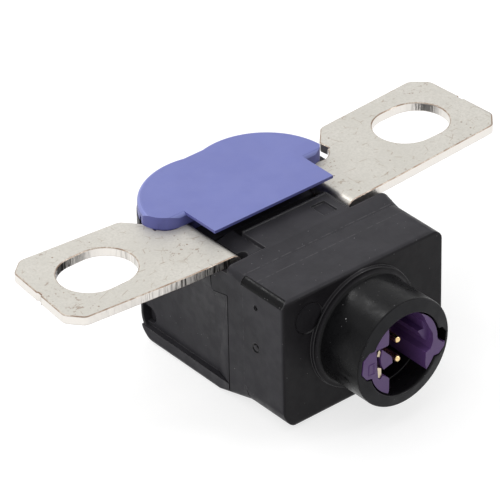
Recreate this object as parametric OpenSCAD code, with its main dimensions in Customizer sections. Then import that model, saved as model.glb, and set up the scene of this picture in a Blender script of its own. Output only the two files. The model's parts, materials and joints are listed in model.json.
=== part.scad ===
// Battery fuse box: a pyrotechnic battery disconnect fuse.
// A tinned copper busbar is clamped in a two-part black housing. On a trigger pulse the
// initiator drives a cutter piston through the thinned web in the middle of the busbar.
// Units are millimetres. The origin is midway between the two terminal slots, on the
// underside of the tabs. X runs along the busbar, Y away from the connector, Z up.
// Depths named *_d are measured backwards from the flat front face of the housing.

/* [Busbar] */
// Thickness of the tinned copper strip
bar_t = 1.3; // [1.0:0.1:1.5]
// Distance between the centres of the two terminal slots
slot_spacing = 51.9; // [50:0.1:56]
// Width of a terminal slot
slot_w = 8.6; // [8.4:0.1:9.2]
// End-to-end length of a terminal slot
slot_l = 10.7; // [10:0.1:12]
// Width of each terminal tab
tab_w = 15.4; // [14:0.1:16]
// Tab length beyond the left slot centre
tab_end_left = 8.7; // [7.5:0.1:10]
// Tab length beyond the right slot centre
tab_end_right = 9.2; // [7.5:0.1:10]
// Angle in degrees by which the left tab sweeps back
sweep_left = 5.2; // [0:0.1:6]
// Angle in degrees by which the right tab sweeps back
sweep_right = 3.6; // [0:0.1:6]
// Chamfer on the outer corners of the tabs
tab_chamfer = 2.0; // [1:0.1:3]

/* [Housing] */
// Width of the housing
body_w = 26.5; // [25:0.1:28]
// Depth of the front housing along the seam side
front_d = 10.6; // [9.5:0.1:11.5]
// Depth from the front face to the back of the rear housing
body_d = 28.9; // [28:0.1:30]
// Height of the flat front top above the underside of the tabs
top_z = 0.65; // [0.4:0.05:0.9]
// Height of the ridge behind the ramp
ridge_z = 1.1; // [0.9:0.05:1.25]
// Height of the housing below the underside of the tabs
body_below = 18.8; // [18:0.1:20]
// Depth of the slot centres behind the front face
slot_d = 20.3; // [20:0.1:21]

/* [Connector] */
// Outside diameter of the connector collar
collar_od = 15.0; // [14.4:0.1:15.6]
// Bore of the connector collar
socket_id = 11.2; // [11:0.1:11.4]
// Distance the collar stands out of the front face
collar_len = 8.0; // [7:0.1:9]
// Height of the collar axis below the underside of the tabs
axis_drop = 8.2; // [8:0.1:8.5]
// Diameter of a contact pin
pin_d = 1.0; // [0.9:0.05:1.1]
// Distance between the two contact pins
pin_pitch = 2.9; // [2.6:0.1:3.1]
// Offset of the collar axis from the middle of the slots
axis_x = -0.45; // [-0.8:0.05:0.8]
// Angle in degrees by which the coding keys are turned
key_turn = 7; // [0:1:8]

/* [Cover] */
// Height of the cover above the busbar
cover_h = 1.8; // [1.5:0.1:2.2]
// Thickness of the cover plate and its skirt
cover_t = 0.9; // [0.8:0.1:1.1]
// Radius of the round back lobes
lobe_r = 10.0; // [9.5:0.1:10.5]

/* [Cutter] */
// Diameter of the cutter piston
piston_d = 8.9; // [8:0.1:9]
// Free stroke of the piston before it meets the web
free_stroke = 1.2; // [0.8:0.1:1.4]

/* [Hidden] */
$fn = 64;
e = 0.01;
fit = 0.05;

face_y = -slot_d;
axis_z = -axis_drop;
floor_z = -body_below;
half_w = body_w / 2;
slot_x = slot_spacing / 2;
bar_top = bar_t;

// The hat section of the busbar sits a little left of the connector axis.
bend_left = -11.65;
bend_right = 8.8;
bend_in = 0.3;
bend_out = bend_in + bar_t;
leg_front_d = 11.4;
leg_back_d = 23.6;
web_half_h = 5.5;
web_bend = 1.6;
leg_left = bend_left + bend_out;
leg_right = bend_right - bend_out;
side_left = 15.3;
side_right = 14.2;

// The tabs reach a little further towards the connector than away from it.
tab_shift = -0.2;

// Round bites behind the necks, where the feet of the cover stand.
bite_r = 2.25;
bite_in = 2.7;
bite_d = 23.35;

// Cover outline, in depth from the front face.
cover_top = bar_top + cover_h;
lobe_left = -5.8;
lobe_right = 2.2;
lobe_d = 21.6;
lobe_front_d = 20.95;
foot_r = bite_r - 0.15;
flange_left = -11.2;
flange_right = 8.2;
flange_front_d = 15.25;
flange_t = 0.4;

// Rim of the rear housing that follows the lobes behind the busbar and carries the cover.
rim_front_d = bite_d + foot_r + fit;
rim_out = 0.1;
rim_low = -3.2;

// Ramp on top of the front housing, and the tongue that it sends over the web.
ramp_d = 7.9;
ridge_d = 10.2;
tongue_half_w = 6.95;
tongue_back_d = 15.3;
tongue_low = -2.5;

// Face of the collar, which rises towards the bore.
face_rise = 0.35;
retainer_front_d = -collar_len - 0.1;

// Die and catch blocks inside the U of the busbar.
block_low = floor_z + 1.9;
catch_front_d = 17.8;

// Stack inside the housing, in depth from the front face.
holder_r = 5.5;
holder_end_d = 3.2;
cup_end_d = 5.8;
sleeve_start_d = 3.3;
sleeve_end_d = leg_front_d - 0.1;
sleeve_r = 5.2;
sleeve_bore_r = piston_d / 2 + 0.05;
piston_nose_d = leg_front_d - free_stroke;
piston_back_d = 6.1;
pin_tip_d = 0.9 - collar_len;

// Places children by depth behind the front face, at connector axis height.
module on_axis() {
    translate([axis_x, face_y, axis_z]) children();
}

// Places children by depth behind the front face, at tab height.
module from_face() {
    translate([0, face_y, 0]) children();
}

// A rod or disc along the connector axis.
module rod_y(r, from_d, to_d) {
    translate([0, from_d, 0]) rotate([-90, 0, 0]) cylinder(r = r, h = to_d - from_d);
}

// A profile drawn as X and Z, pushed backwards from one depth to another.
module push_y(from_d, to_d) {
    translate([0, to_d, 0]) rotate([90, 0, 0]) linear_extrude(to_d - from_d) children();
}

// A profile drawn as depth and Z, pushed along X.
module push_x(from_x, to_x) {
    translate([from_x, 0, 0]) rotate([90, 0, 90]) linear_extrude(to_x - from_x) children();
}

// An O-ring round the connector axis.
module o_ring(mean_r, cord_r, depth) {
    translate([0, depth, 0]) rotate([-90, 0, 0])
        rotate_extrude($fn = 48) translate([mean_r, 0]) circle(cord_r, $fn = 20);
}

// What a rounded corner of radius r takes off a square one, corner at the origin,
// material towards +x and +y.
module corner_cut(r) {
    difference() {
        translate([-1, -1]) square(r + 1);
        translate([r, r]) circle(r);
    }
}

// A point of the right-hand tab, given from its slot centre along and across the swept tab.
function on_tab(sweep, along, across) = [
    slot_x + along * cos(sweep) - across * sin(sweep),
    along * sin(sweep) + across * cos(sweep) + tab_shift
];

// Flat outline of the right-hand tab and its neck, with the round bite behind the neck.
// bend_x is where the neck turns down, side_x where the inner back edge of the tab stands.
module flat_outline(sweep, end_len, bend_x, side_x) {
    c = tab_chamfer;
    h = tab_w / 2;
    inner = side_x - slot_x;
    soft = 0.5;
    front = leg_front_d - slot_d;
    back = leg_back_d - slot_d;
    difference() {
        polygon([
            [bend_x, front], on_tab(sweep, inner + 2, -h), on_tab(sweep, end_len - c, -h),
            on_tab(sweep, end_len, -h + c), on_tab(sweep, end_len, h - c), on_tab(sweep, end_len - c, h),
            on_tab(sweep, inner + 2.4 + soft, h), on_tab(sweep, inner + 2.4, h - 0.2),
            on_tab(sweep, inner + 0.1, h - 2.4), on_tab(sweep, inner - 0.1, h - 2.4 - soft),
            on_tab(sweep, inner, h - 4.4), [side_x - bite_in, back], [bend_x, back]
        ]);
        translate([side_x - bite_in, bite_d - slot_d]) circle(bite_r);
    }
}

module slot_outline() {
    flat = slot_l - slot_w;
    square([flat, slot_w], center = true);
    for (side = [-1, 1]) translate([side * flat / 2, 0]) circle(slot_w / 2);
}

module flat_half(sweep, end_len, bend_x, side_x) {
    difference() {
        linear_extrude(bar_t) flat_outline(sweep, end_len, bend_x, side_x);
        translate([slot_x, 0, -1]) linear_extrude(bar_t + 2) slot_outline();
        tie_bar_notch(sweep, end_len);
    }
}

// Small bump that the sheared tie bar leaves in the end edge of a tab.
module tie_bar_notch(sweep, end_len) {
    depth = 0.18;
    width = 0.9;
    translate([slot_x, tab_shift, -1]) rotate(sweep)
        translate([end_len - depth, -width / 2, 0]) cube([1, width, bar_t + 2]);
}

// Quarter bend that turns the neck down into its leg, at x = 0 going towards -X.
module bend_down() {
    rotate([-90, 0, 0]) translate([0, -bar_t + bend_out, leg_front_d - slot_d])
        difference() {
            cylinder(r = bend_out, h = leg_back_d - leg_front_d);
            translate([0, 0, -1]) cylinder(r = bend_in, h = leg_back_d - leg_front_d + 2);
            translate([0, -9, -1]) cube([9, 18, 20]);
            translate([-9, 0, -1]) cube([18, 9, 20]);
        }
}

// One leg, its outer face at x = 0 and its metal towards +X.
module leg() {
    z_top = bar_t - bend_out;
    z_web = axis_z + web_half_h;
    z_low = axis_z - web_half_h;
    front = leg_front_d - slot_d;
    back = leg_back_d - slot_d;
    translate([0, front, z_web]) cube([bar_t, back - front, z_top - z_web]);
    translate([0, front + web_bend, z_low]) cube([bar_t, back - front - web_bend - 2, z_web - z_low + e]);
    // Vertical corner bend into the web
    translate([bar_t - web_bend, front + web_bend, z_low]) difference() {
        cylinder(r = web_bend, h = z_web - z_low);
        translate([0, 0, -1]) cylinder(r = web_bend - bar_t, h = z_web - z_low + 2);
        translate([-9, -9, -1]) cube([9, 18, 30]);
        translate([-9, 0, -1]) cube([18, 9, 30]);
    }
}

// The web between the legs, thinned by two grooves where the piston shears it.
module web() {
    x_left = leg_left - bar_t + web_bend;
    x_right = leg_right + bar_t - web_bend;
    front = leg_front_d - slot_d;
    groove_r = 0.45;
    translate([0, 0, axis_z - web_half_h]) difference() {
        translate([x_left, front, 0]) cube([x_right - x_left, bar_t, 2 * web_half_h]);
        for (side = [-1, 1], y = [front, front + bar_t])
            translate([axis_x + side * (piston_d / 2 + 0.25), y, -1])
                cylinder(r = groove_r, h = 20, $fn = 24);
    }
}

module busbar() {
    color([0.79, 0.77, 0.72]) union() {
        flat_half(sweep_right, tab_end_right, bend_right, side_right);
        mirror([1, 0, 0]) flat_half(sweep_left, tab_end_left, -bend_left, side_left);
        translate([bend_right, 0, 0]) bend_down();
        translate([bend_left, 0, 0]) mirror([1, 0, 0]) bend_down();
        translate([leg_right, 0, 0]) leg();
        translate([leg_left, 0, 0]) mirror([1, 0, 0]) leg();
        web();
    }
}

// Edge of a plate as radius and height: square below, rounded above.
module plate_edge(reach, h, soft) {
    square([reach - soft, h]);
    square([reach, h - soft]);
    translate([reach - soft, h - soft]) circle(soft, $fn = 32);
}

// Solid form of the two lobes with a soft upper edge, standing on z = 0.
module lobes(h) {
    soft = 0.6;
    waist = lobe_r - 0.3;
    intersection() {
        union() {
            for (x = [lobe_left, lobe_right]) translate([x, lobe_d, 0])
                rotate_extrude() plate_edge(lobe_r, h, soft);
            translate([0, lobe_d, 0]) push_x(lobe_left, lobe_right) plate_edge(waist, h, soft);
            translate([lobe_left, lobe_front_d, 0]) cube([lobe_right - lobe_left, 2, h]);
        }
        // Straight front edge of the lobes, with the same soft edge
        difference() {
            translate([0, lobe_front_d + 30, 0]) push_x(-30, 30) mirror([1, 0]) plate_edge(30, h, soft);
            translate([0, 0, -1]) linear_extrude(h + 2) lobe_corners(0);
        }
    }
}

// What comes off the front corners of the lobes, in plan. The left one is the blunter.
module lobe_corners(inset) {
    translate([lobe_left - lobe_r + 0.42 + inset, lobe_front_d + inset]) corner_cut(3.5 - inset);
    translate([lobe_right + lobe_r - inset, lobe_front_d + inset]) mirror([1, 0]) corner_cut(2.4 - inset);
}

// Plan outline of the two lobes, grown or shrunk by an offset.
module lobes_plan(grow) {
    for (x = [lobe_left, lobe_right]) translate([x, lobe_d]) circle(lobe_r + grow);
    translate([lobe_left, lobe_d - lobe_r]) square([lobe_right - lobe_left, 2 * lobe_r - 0.3 + grow]);
}

// Feet of the cover, which pass through the bites of the busbar.
module cover_feet() {
    under_plate = cover_top - cover_t;
    intersection() {
        linear_extrude(under_plate + e) difference() {
            lobes_plan(-0.05);
            lobe_corners(0.05);
            // Room for the bends of the busbar
            translate([bend_left - 0.1, 0]) square([bend_right - bend_left + 0.2, body_d]);
        }
        for (x = [bite_in - side_left, side_right - bite_in])
            translate([x, bite_d, 0.02]) cylinder(r = foot_r, h = under_plate);
    }
}

module top_cover() {
    post = [2.2, 1.2];
    slot_at = [lobe_left - lobe_r, 25.0, 0.6];
    color([0.50, 0.53, 0.77]) from_face() {
        difference() {
            union() {
                translate([0, 0, bar_top]) lobes(cover_h);
                // Thin flange that reaches over the gap
                translate([flange_left, flange_front_d, cover_top - flange_t])
                    cube([flange_right - flange_left, lobe_front_d + 1.5 - flange_front_d, flange_t]);
            }
            // Hollow under the plate
            translate([0, 0, bar_top - 1]) linear_extrude(cover_h - cover_t + 1) intersection() {
                lobes_plan(-1.1);
                translate([-20, lobe_front_d + 1.1]) square([40, 20]);
            }
            // Narrow slot in the side of the left lobe
            translate([slot_at[0] - 1, slot_at[1], bar_top - 1]) cube([2.2, slot_at[2], cover_h]);
        }
        cover_feet();
        // Snap posts that reach into the gap between the legs
        for (x = [leg_left + 0.5, leg_right - 0.5 - post[0]])
            translate([x, leg_back_d - 2.0, -1.2]) cube([post[0], post[1], cover_top + 1.2 - cover_t + e]);
    }
}

// Face outline of the housing as X and Z. tl, tr, low are the corner radii.
module body_face(top, tl, tr, low) {
    difference() {
        translate([-half_w, floor_z]) square([body_w, top - floor_z]);
        translate([-half_w, floor_z]) corner_cut(low);
        translate([half_w, floor_z]) mirror([1, 0]) corner_cut(low);
        translate([-half_w, top]) mirror([0, 1]) corner_cut(tl);
        translate([half_w, top]) mirror([1, 1]) corner_cut(tr);
    }
}

// What rounds a long low corner of the housing: an even rounding as far as turn_d, then
// one that runs out towards the back. Corner at the origin.
module low_corner(r, turn_d) {
    run_out = 12;
    push_y(-1, turn_d) corner_cut(r);
    translate([0, turn_d, 0]) rotate(-run_out, [1, 0, -1]) push_y(-0.5, 9) corner_cut(r);
}

// Side profile of the front housing as depth and Z, with its ramp up to the ridge.
module front_profile() {
    nose = 0.6;
    chin = 1.0;
    difference() {
        polygon([
            [0, floor_z], [front_d, floor_z], [front_d, ridge_z], [ridge_d, ridge_z],
            [ramp_d, top_z], [0, top_z]
        ]);
        translate([0, top_z]) mirror([0, 1]) corner_cut(nose);
        translate([0, floor_z]) corner_cut(chin);
    }
}

// Outline of the seam tab as depth and Z, grown for its clearance in the rear housing.
module seam_outline(grow, top) {
    back_d = 13.8 + grow;
    low_z = -4.05 - grow;
    difference() {
        polygon([
            [front_d - 1, -3.35 - grow], [front_d, -3.35 - grow], [back_d, low_z], [back_d, top],
            [front_d - 1, top]
        ]);
        translate([back_d, low_z]) mirror([1, 0]) corner_cut(0.7);
    }
}

// The part of the front housing that overlaps the rear one under the tabs.
module seam_tab(side) {
    wall = 1.5;
    mirror([side < 0 ? 1 : 0, 0, 0]) push_x(half_w - wall, half_w) seam_outline(0, -fit);
}

// What rounds the top edge of the housing along the ramp, on the right-hand side.
module ramp_corner(r, tilt) {
    translate([half_w, ramp_d - 0.1, top_z]) rotate([tilt, 0, 0])
        mirror([1, 0, 0]) mirror([0, 0, 1]) push_y(-6, 6) corner_cut(r);
}

// Solid box of the front housing, with its ramp and rounded edges.
module front_box() {
    left_r = 0.85;
    right_r = 2.2;
    ridge_r = 1.5;
    slope = atan((ridge_z - top_z) / (ridge_d - ramp_d));
    intersection() {
        push_x(-half_w, half_w) front_profile();
        union() {
            push_y(0, ramp_d) body_face(top_z, left_r + 0.25, right_r, 0.3);
            difference() {
                push_y(ramp_d - e, front_d) body_face(ridge_z, left_r, ridge_r, 0.3);
                ramp_corner(right_r, 21.3);
                mirror([1, 0, 0]) ramp_corner(left_r, slope);
            }
        }
    }
}

// Tongue behind the ridge that covers the web, with a lower shelf towards the left leg.
module tongue() {
    lip_w = 0.35;
    lip_h = 0.12;
    shelf_left = -9.4;
    shelf_back_d = 17.2;
    difference() {
        union() {
            translate([-tongue_half_w, front_d - e, tongue_low])
                cube([2 * tongue_half_w, tongue_back_d - front_d + e, ridge_z - tongue_low]);
            // Thin raised lip along the back and the right edge
            translate([-tongue_half_w, tongue_back_d - lip_w, ridge_z - e])
                cube([2 * tongue_half_w, lip_w, lip_h + e]);
            translate([tongue_half_w - lip_w, front_d - e, ridge_z - e])
                cube([lip_w, tongue_back_d - front_d, lip_h + e]);
            // Shelf that falls away towards the leg
            push_y(front_d - e, shelf_back_d) polygon([
                [shelf_left, tongue_low], [e - tongue_half_w, tongue_low], [e - tongue_half_w, 0.5],
                [shelf_left, -0.15]
            ]);
        }
        // Shallow window
        translate([3.3, 11.3, ridge_z - 0.35]) cube([2.2, 2.7, 1]);
        // Round notch in the edge of the shelf
        translate([shelf_left + 0.1, 12.5, -8]) cylinder(r = 0.8, h = 9);
    }
}

// Collar of the connector with its flat base ring and soft root.
module collar() {
    ring_r = 8.35;
    ring_out = 0.5;
    root = 0.6;
    soft = 0.3;
    r = collar_od / 2;
    rod_y(ring_r, -ring_out, e);
    rod_y(r, -collar_len + soft, 0);
    rod_y(r - soft, -collar_len, 0);
    translate([0, -collar_len - face_rise, 0]) rotate([-90, 0, 0])
        cylinder(r1 = socket_id / 2 + 0.1, r2 = r - soft, h = face_rise);
    translate([0, -collar_len + soft, 0]) rotate([-90, 0, 0])
        rotate_extrude() translate([r - soft, 0]) circle(soft, $fn = 24);
    translate([0, -ring_out, 0]) rotate([90, 0, 0]) rotate_extrude() translate([r, 0]) difference() {
        translate([-1, -0.1]) square([1 + root, root + 0.1]);
        translate([root, root]) circle(root, $fn = 32);
    }
}

// Outline of a coding slot as X and Z, on the right-hand side of the bore.
module key_outline(grow) {
    polygon([
        [4.6, 2.1 + grow], [6.0, 2.0 + grow], [6.95 + grow, 1.0], [6.95 + grow, -1.0],
        [6.0, -2.0 - grow], [4.6, -2.1 - grow]
    ]);
}

module front_housing() {
    low_r = 3.4;
    turn_d = 7.2;
    color([0.10, 0.10, 0.11]) difference() {
        union() {
            from_face() {
                front_box();
                tongue();
                for (side = [-1, 1]) seam_tab(side);
            }
            on_axis() collar();
            // Boss that clamps the web
            on_axis() rod_y(7, front_d - e, leg_front_d - fit);
        }
        // Upright edges of the front face
        from_face() linear_extrude(60, center = true) for (side = [-1, 1])
            mirror([side > 0 ? 1 : 0, 0]) translate([-half_w, 0]) corner_cut(0.4);
        from_face() for (side = [-1, 1])
            mirror([side > 0 ? 1 : 0, 0, 0]) translate([-half_w, 0, floor_z]) low_corner(low_r, turn_d);
        on_axis() {
            rod_y(socket_id / 2, -collar_len - 1, 0);
            rod_y(holder_r + fit, -e, holder_end_d + fit);
            rod_y(sleeve_r + fit, 3, 20);
            for (a = [0, 180]) rotate([0, key_turn + a, 0]) push_y(-collar_len - 1, -1) key_outline(0);
            // Lead-in chamfer of the socket and the fine groove inside it
            translate([0, -collar_len - face_rise - e, 0]) rotate([-90, 0, 0])
                cylinder(r1 = socket_id / 2 + 0.2, r2 = socket_id / 2, h = 0.45);
            rod_y(socket_id / 2 + 0.06, -5.1, -4.9);
        }
        face_marks();
    }
}

// Round ejector marks in the front face and the left side.
module face_marks() {
    on_axis() translate([-8.5, 0, 5]) rod_y(2.15, -0.2, 0.1);
    from_face() {
        translate([-half_w - e, 5.1, -2.35]) rotate([0, 90, 0]) cylinder(r = 0.35, h = 0.3, $fn = 24);
        translate([-half_w - e, 5.2, -8.4]) rotate([0, 90, 0]) difference() {
            cylinder(r = 0.65, h = 0.12, $fn = 32);
            translate([0, 0, -1]) cylinder(r = 0.45, h = 3, $fn = 32);
        }
    }
}

// Plan outline of the rear housing in depth coordinates.
module rear_plan() {
    r = 0.8;
    difference() {
        translate([-half_w, front_d + fit]) square([body_w, body_d - front_d - fit]);
        for (side = [-1, 1])
            mirror([side > 0 ? 1 : 0, 0]) translate([-half_w, body_d]) mirror([0, 1]) corner_cut(r);
    }
}

// Side profile of the rear housing, rounded at the low back edge.
module rear_profile() {
    difference() {
        translate([front_d + fit, floor_z]) square([body_d - front_d - fit, -fit - floor_z]);
        translate([body_d, floor_z]) mirror([1, 0]) corner_cut(3.8);
    }
}

// Side panel sunk above a bottom rim: flush along the seam and the top, deepest low down.
module side_panel() {
    sink = 0.85;
    rim = 2.0;
    run_out = 3.2;
    flush_z = -2.2;
    low_z = floor_z + rim;
    intersection() {
        linear_extrude(60, center = true)
            polygon([[-1, front_d], [0, front_d], [sink, front_d + run_out], [sink, 40], [-1, 40]]);
        push_y(front_d, 40) polygon([[-1, flush_z], [0, flush_z], [sink, low_z], [-1, low_z]]);
    }
}

// Notch in the side wall at the back, rounded at its front end.
module back_notch() {
    r = 1.25;
    deep = 1.6;
    notch_d = body_d - 1.45;
    notch_z = axis_z - 6.95;
    translate([-1, notch_d, notch_z]) rotate([0, 90, 0]) cylinder(r = r, h = 1 + deep);
    translate([-1, notch_d, notch_z - r]) cube([1 + deep, 5, 2 * r]);
}

// Rim under the back of the cover, with a sloped underside where it overhangs.
module cover_rim() {
    intersection() {
        translate([0, 0, rim_low]) linear_extrude(bar_top - fit - rim_low) difference() {
            lobes_plan(rim_out);
            lobes_plan(-1.3);
        }
        translate([-30, rim_front_d, -10]) cube([60, 20, 20]);
        push_x(-30, 30) polygon([
            [0, rim_low], [body_d - 1, rim_low], [body_d + 3.5, rim_low + 3.2], [60, 10], [0, 10]
        ]);
        push_y(0, 60) polygon([
            [-half_w + 0.5, rim_low], [half_w - 0.5, rim_low], [half_w + 3.5, 0.2], [half_w + 3.5, 10],
            [-half_w - 3.5, 10], [-half_w - 3.5, 0.2]
        ]);
    }
}

module rear_housing() {
    wall = 1.8;
    bend_gap = 0.15;
    low_r = 3.4;
    turn_d = 7.2;
    color([0.12, 0.12, 0.13]) from_face() difference() {
        union() {
            intersection() {
                linear_extrude(60, center = true) rear_plan();
                push_x(-half_w, half_w) rear_profile();
                push_y(front_d, body_d) body_face(-fit, e, e, 0.6);
            }
            cover_rim();
        }
        for (side = [-1, 1]) mirror([side > 0 ? 1 : 0, 0, 0]) translate([-half_w, 0, 0]) {
            side_panel();
            back_notch();
            translate([0, 0, floor_z]) low_corner(low_r, turn_d);
            // Clearance for the overlapping tabs of the front housing
            push_x(-1, 1.5 + fit) seam_outline(fit, 1);
        }
        // Chamber for the die block, the legs and the catch block
        translate([leg_left - bar_t - bend_gap, front_d - 1, floor_z + wall])
            cube([leg_right - leg_left + 2 * (bar_t + bend_gap), leg_back_d - front_d + 1 + fit, 30]);
        // Catch space behind the legs
        translate([-8, front_d, floor_z + wall]) cube([14.6, body_d - front_d - 2.4, 15]);
    }
}

// Space for the sheared piece of the web, as an opening along Y.
module shear_opening(from_d, to_d) {
    side = 0.3;
    translate([axis_x - piston_d / 2 - side, from_d, axis_z - web_half_h - 0.2])
        cube([piston_d + 2 * side, to_d - from_d, 2 * web_half_h + 0.4]);
}

// Die behind the web, between the legs.
module die_block() {
    left_x = leg_left + fit;
    front = leg_front_d + bar_t + fit;
    back = catch_front_d - fit;
    top = tongue_low - fit;
    color([0.13, 0.13, 0.14]) from_face() difference() {
        translate([left_x, front, block_low])
            cube([leg_right - leg_left - 2 * fit, back - front, top - block_low]);
        shear_opening(front - 1, catch_front_d + 1);
        // Room for the corner bends of the web
        for (x = [leg_left, leg_right]) translate([x, leg_front_d + web_bend, -20])
            cylinder(r = 1.4, h = 20 + tongue_low);
    }
}

// Block behind the die that closes the chamber and stops the cut piece.
module catch_block() {
    left_x = leg_left + fit;
    top = -0.3;
    back = leg_back_d - 0.1;
    color([0.11, 0.11, 0.12]) from_face() difference() {
        translate([left_x, catch_front_d, block_low])
            cube([leg_right - leg_left - 2 * fit, back - catch_front_d, top - block_low]);
        shear_opening(catch_front_d - 1, back + 1);
        // Room for the snap posts of the cover
        for (x = [leg_left + 0.3, leg_right - 2.9])
            translate([x, leg_back_d - 2.2, -1.5]) cube([2.6, 3, 4]);
    }
}

// Cheeks of the retainer as X and Z seen from the front. Their outer sides are cut off later
// by the bore and the coding slots.
module cheek_left() {
    polygon([
        [-2.6, 6], [-2.52, 3.9], [-2.55, 2.6], [-2.78, 2.45], [-4.6, 2.5], [-4.57, 1.94], [-4.5, 0],
        [-4.3, -1.8], [-3.93, -2.03], [-3.58, -1.66], [-2.75, -2.26], [-2.52, -2.6], [-2.55, -4.4],
        [-3.2, -6], [-7.6, -6], [-7.6, 6]
    ]);
}

module cheek_right() {
    polygon([
        [2.66, 4.83], [3.26, 4.02], [3.6, 3.1], [4.2, 1.9], [4.71, 0.98], [4.78, -0.13], [4.37, -1.25],
        [3.54, -1.51], [3.49, -3.23], [3.68, -4.19], [3.2, -4.74], [3.2, -7], [8, -7], [8, 6], [3.2, 6]
    ]);
}

// Rib that stands out of the right cheek below its front edge.
module cheek_rib() {
    polygon([
        [6, 3.5], [4.05, 3.17], [3.69, 2.68], [3.94, 1.5], [2.99, 1.56], [3.95, -0.07], [4.43, -0.46],
        [6, -0.8]
    ]);
}

// Middle prism of the left cheek that carries the shorting clip.
module clip_prism() {
    polygon([
        [-3.64, 2.25], [-2.23, 0.68], [-2.03, 0.32], [-1.99, -0.45], [-3.4, -0.82], [-3.81, 0.13],
        [-3.93, 0.99]
    ]);
}

// Coding lugs that ride in the slots of the collar. The right one fills only the low part.
module coding_lugs(clear) {
    rotate([0, key_turn + 180, 0]) push_y(-9, -1.1) key_outline(-clear);
    intersection() {
        rotate([0, key_turn, 0]) push_y(-9, -1.1) key_outline(-clear);
        push_y(-10, 0)
            polygon([[4, 0.5], [5.44, 0.21], [5.56, -0.33], [6.41, -1.21], [8, -1.21], [8, -4], [4, -4]]);
    }
}

module connector_retainer() {
    rib_front_d = -7.2;
    floor_d = -1.2;
    floor_low = -2.25;
    back_d = -0.1;
    clear = 0.12;
    frame_at = [-5.85, -0.75];
    frame_size = [0.95, 1.6];
    frame_w = 0.12;
    color([0.42, 0.33, 0.53]) on_axis() difference() {
        union() {
            intersection() {
                union() {
                    push_y(retainer_front_d, back_d) union() {
                        cheek_left();
                        cheek_right();
                        clip_prism();
                    }
                    push_y(rib_front_d, back_d) cheek_rib();
                }
                union() {
                    rod_y(socket_id / 2 - clear, -9, 0);
                    coding_lugs(clear);
                }
            }
            // Back plate that joins the cheeks
            intersection() {
                rod_y(socket_id / 2 - clear, floor_d, back_d);
                translate([-8, -2, floor_low]) cube([16, 3, 16]);
            }
            // Fine raised frame on the left lug
            push_y(retainer_front_d - 0.08, retainer_front_d + e) difference() {
                translate(frame_at) square(frame_size);
                translate(frame_at + [frame_w, frame_w]) square(frame_size - 2 * [frame_w, frame_w]);
            }
        }
        for (z = [-1, 1]) translate([0, 0, z * pin_pitch / 2]) rod_y(pin_d / 2 + 0.1, -9, 1);
    }
}

// Spring strip that shorts the two pins until the plug is in.
module shorting_clip() {
    front = retainer_front_d + 0.1;
    back = -3.4;
    strip = 0.5;
    color([0.80, 0.76, 0.68]) on_axis() {
        push_y(front, back)
            polygon([[-4.02, 2.31], [-3.81, 1.86], [-3.99, 1.28], [-4.43, 1.54], [-4.22, 2.17]]);
        push_y(front, back)
            polygon([[-4.36, -0.17], [-3.76, -0.5], [-3.71, -1.6], [-3.94, -1.92], [-4.24, -1.7]]);
        translate([-4.38, back - strip, -0.7]) cube([0.4, strip - e, 2.3]);
    }
}

// Moulded holder of the initiator, sealed by an O-ring in its groove.
module initiator_holder() {
    color([0.16, 0.16, 0.17]) on_axis() difference() {
        rod_y(holder_r, 0, holder_end_d);
        o_ring(5.0, 0.62, 1.6);
        difference() {
            rod_y(6, 1.2, 2.0);
            rod_y(4.95, 0, 4);
        }
        rod_y(3.2, 1.4, 4);
        for (z = [-1, 1]) translate([0, 0, z * pin_pitch / 2]) rod_y(pin_d / 2, -1, 4);
    }
}

module initiator_header() {
    color([0.55, 0.55, 0.56]) on_axis() difference() {
        union() {
            rod_y(3.15, 1.45, holder_end_d);
            rod_y(2.7, 1.45, holder_end_d + 0.5);
        }
        translate([0, 0, pin_pitch / 2]) rod_y(1.1, 1, 5);
        translate([0, 0, -pin_pitch / 2]) rod_y(pin_d / 2, 1, 2.4);
    }
}

module glass_seal() {
    color([0.20, 0.35, 0.33]) on_axis() translate([0, 0, pin_pitch / 2]) difference() {
        rod_y(1.1, 1.45, holder_end_d + 0.5);
        rod_y(pin_d / 2, 1, 5);
    }
}

// Contact pin with a rounded tip, along the connector axis.
module contact_pin(end_d) {
    rod_y(pin_d / 2, pin_tip_d + pin_d / 2, end_d);
    translate([0, pin_tip_d + pin_d / 2, 0]) sphere(d = pin_d, $fn = 32);
}

module upper_pin() {
    color([0.85, 0.65, 0.30]) on_axis() translate([0, 0, pin_pitch / 2]) contact_pin(holder_end_d + 0.5);
}

module lower_pin() {
    color([0.85, 0.65, 0.30]) on_axis() translate([0, 0, -pin_pitch / 2]) contact_pin(2.4);
}

module initiator_cup() {
    color([0.70, 0.70, 0.72]) on_axis() difference() {
        rod_y(3.0, holder_end_d, cup_end_d);
        rod_y(2.75, holder_end_d - 1, cup_end_d - 0.25);
    }
}

module initiator_charge() {
    color([0.35, 0.32, 0.28]) on_axis() rod_y(2.7, holder_end_d + 0.55, cup_end_d - 0.3);
}

module initiator_o_ring() {
    color([0.07, 0.07, 0.07]) on_axis() o_ring(5.0, 0.5, 1.6);
}

// Steel sleeve that guides the piston.
module pressure_sleeve() {
    color([0.60, 0.60, 0.61]) on_axis() difference() {
        rod_y(sleeve_r, sleeve_start_d, sleeve_end_d);
        rod_y(sleeve_bore_r, sleeve_start_d + 0.6, sleeve_end_d + 1);
        rod_y(3.1, sleeve_start_d - 1, sleeve_start_d + 2);
    }
}

// Plastic piston with a hollow back over the cup and a chisel edge in front of the web.
module cutter_piston() {
    color([0.85, 0.84, 0.80]) on_axis() difference() {
        rod_y(piston_d / 2, piston_back_d, piston_nose_d);
        difference() {
            rod_y(6, 7.2, 8.2);
            rod_y(piston_d / 2 - 0.75, 7, 9);
        }
        rod_y(2.9, piston_back_d - 1, piston_back_d + 0.8);
        // Relief that leaves a raised cutting rim
        rod_y(3.4, piston_nose_d - 0.4, piston_nose_d + 1);
    }
}

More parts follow.
